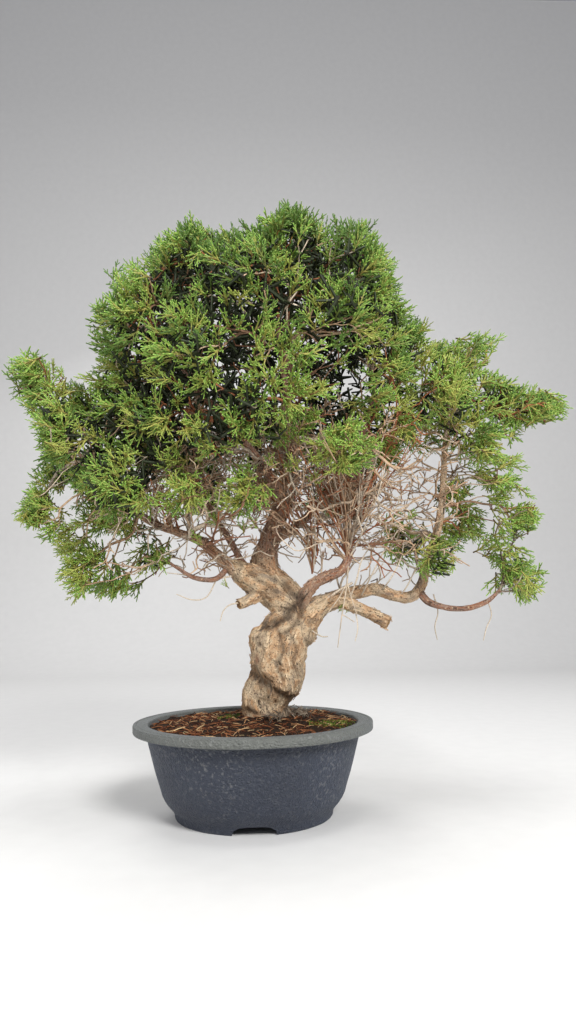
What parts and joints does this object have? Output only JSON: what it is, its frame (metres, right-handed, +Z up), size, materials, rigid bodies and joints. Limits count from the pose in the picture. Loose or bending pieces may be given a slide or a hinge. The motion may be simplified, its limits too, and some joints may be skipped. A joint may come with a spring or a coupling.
{
  "type": "juniper bonsai in a pot",
  "caption": "Kishu juniper bonsai with a twisted trunk, cut stubs and spreading limbs that carry pads of fine scale-leaf sprays, rooted in soil in a round training pot with a notched foot.",
  "frame": {"origin": "on the surface that the pot stands on, under the middle of the tree's overall width and depth; the pot's axis is 45 mm to the left of it and 5 mm in front of it", "axes": "+Z up the tree, -Y out of the tree's front, the side that the picture shows, and +X to the viewer's right, towards the long limb"},
  "size_m": [0.6117, 0.3085, 0.6301],
  "materials": {
    "pot": "satin",
    "mesh": "matte",
    "soil": "matte",
    "wood": "matte",
    "foliage": "matte"
  },
  "bodies": {
    "root": {"pot": "pot", "drainage_mesh": "mesh", "soil": "soil", "wood": "wood", "foliage_crown_01": "foliage", "foliage_crown_02": "foliage", "foliage_crown_03": "foliage", "foliage_crown_04": "foliage", "foliage_crown_05": "foliage", "foliage_crown_06": "foliage", "foliage_crown_07": "foliage", "foliage_crown_08": "foliage", "foliage_crown_09": "foliage", "foliage_crown_10": "foliage", "foliage_crown_11": "foliage", "foliage_crown_12": "foliage", "foliage_crown_13": "foliage", "foliage_crown_14": "foliage", "foliage_crown_15": "foliage", "foliage_crown_16": "foliage", "foliage_crown_17": "foliage", "foliage_crown_18": "foliage", "foliage_crown_19": "foliage", "foliage_crown_20": "foliage", "foliage_crown_21": "foliage", "foliage_crown_22": "foliage", "foliage_crown_23": "foliage", "foliage_crown_24": "foliage", "foliage_crown_25": "foliage", "foliage_crown_26": "foliage", "foliage_crown_27": "foliage", "foliage_left_tip": "foliage", "foliage_left_upper": "foliage", "foliage_left_front": "foliage", "foliage_left_inner": "foliage", "foliage_left_skirt_tip": "foliage", "foliage_left_skirt": "foliage", "foliage_left_droop": "foliage", "foliage_left_low": "foliage", "foliage_left_back": "foliage", "foliage_left_small": "foliage", "foliage_left_middle": "foliage", "foliage_right_shoulder": "foliage", "foliage_right_upper": "foliage", "foliage_right_back": "foliage", "foliage_right_arm": "foliage", "foliage_right_tip": "foliage", "foliage_right_inner": "foliage", "foliage_right_low": "foliage", "foliage_right_skirt": "foliage", "foliage_right_droop": "foliage", "foliage_right_middle": "foliage", "foliage_right_small": "foliage", "foliage_right_back_low": "foliage", "foliage_front_left": "foliage", "foliage_front_right": "foliage", "foliage_back_left": "foliage", "foliage_back_right": "foliage"}
  },
  "joints": []
}
